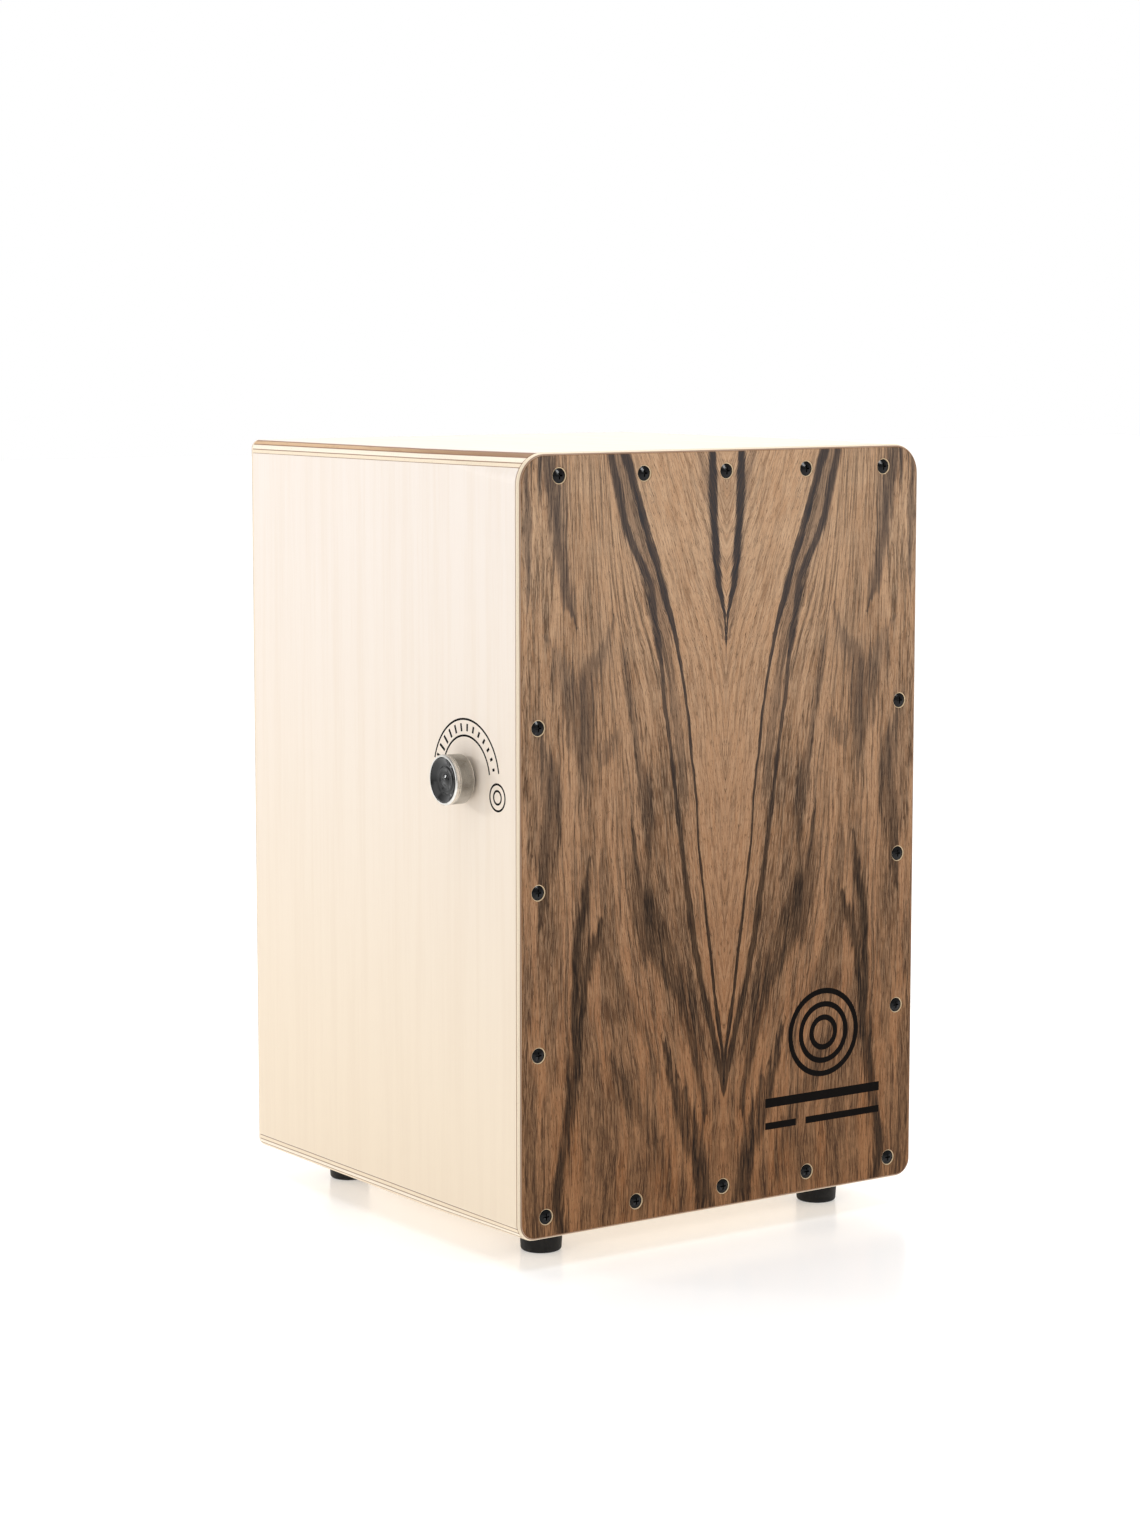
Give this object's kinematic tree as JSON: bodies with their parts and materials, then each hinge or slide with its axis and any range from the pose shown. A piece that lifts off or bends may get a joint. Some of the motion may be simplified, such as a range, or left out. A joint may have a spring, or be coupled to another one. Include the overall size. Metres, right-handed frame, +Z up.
{
  "type": "cajon",
  "caption": "Plywood box drum with a screwed-on streaked veneer playing face, rear sound hole, rubber feet and a side knob that turns the snare.",
  "frame": {"origin": "on the floor, at the middle of the overall footprint, knob included", "axes": "+Z up, -Y out of the playing face, -X out of the wall with the knob"},
  "size_m": [0.328, 0.32, 0.499],
  "materials": {
    "birch_plywood": "pale birch plywood, satin lacquer",
    "streaked_veneer": "book-matched brown veneer with blue-black streaks, satin lacquer",
    "spruce": "planed softwood",
    "beech": "planed beech",
    "black_screw": "black oxide",
    "black_rubber": "matt black rubber",
    "knurled_metal": "knurled, polished rim",
    "black_plastic": "glossy black",
    "black_felt": "pressed felt",
    "nylon": "black nylon",
    "brass": "rolled brass strip",
    "steel": "zinc-plated steel"
  },
  "bodies": {
    "box": {"top_panel": "birch_plywood", "bottom_panel": "birch_plywood", "side_panel_left": "birch_plywood", "side_panel_right": "birch_plywood", "back_panel": "birch_plywood", "tapa_core": "birch_plywood", "tapa_veneer": "streaked_veneer", "tapa_screws": "black_screw", "front_batten_top": "spruce", "front_batten_bottom": "spruce", "front_batten_left": "spruce", "front_batten_right": "spruce", "back_batten_top": "spruce", "back_batten_bottom": "spruce", "back_batten_left": "spruce", "back_batten_right": "spruce", "rubber_foot_front_left": "black_rubber", "rubber_foot_front_right": "black_rubber", "rubber_foot_back_left": "black_rubber", "rubber_foot_back_right": "black_rubber", "foot_washers": "steel", "foot_screws": "steel", "shaft_bushing": "nylon", "bearing_block": "beech", "bearing_block_screws": "steel", "stop_pin": "beech", "stop_pin_sleeve": "black_rubber"},
    "snare_control": {"knob_barrel": "knurled_metal", "knob_cap": "black_plastic", "knob_set_screw": "steel", "knob_felt_washer": "black_felt", "snare_shaft": "steel", "shaft_collar": "steel", "collar_set_screw": "steel", "snare_bar": "beech", "snare_bar_screws": "steel", "snare_wires_left": "steel", "snare_wires_right": "steel", "snare_end_plate_left": "brass", "snare_end_plate_right": "brass", "snare_clamp_strip_left": "brass", "snare_clamp_strip_right": "brass", "snare_clamp_screws": "steel"}
  },
  "joints": [
    {"name": "knob_turn", "type": "hinge", "parent": "box", "child": "snare_control", "pos_m": [-0.147, -0.102, 0.299], "axis": [-1, 0, 0], "range_deg": [0, 45]}
  ]
}
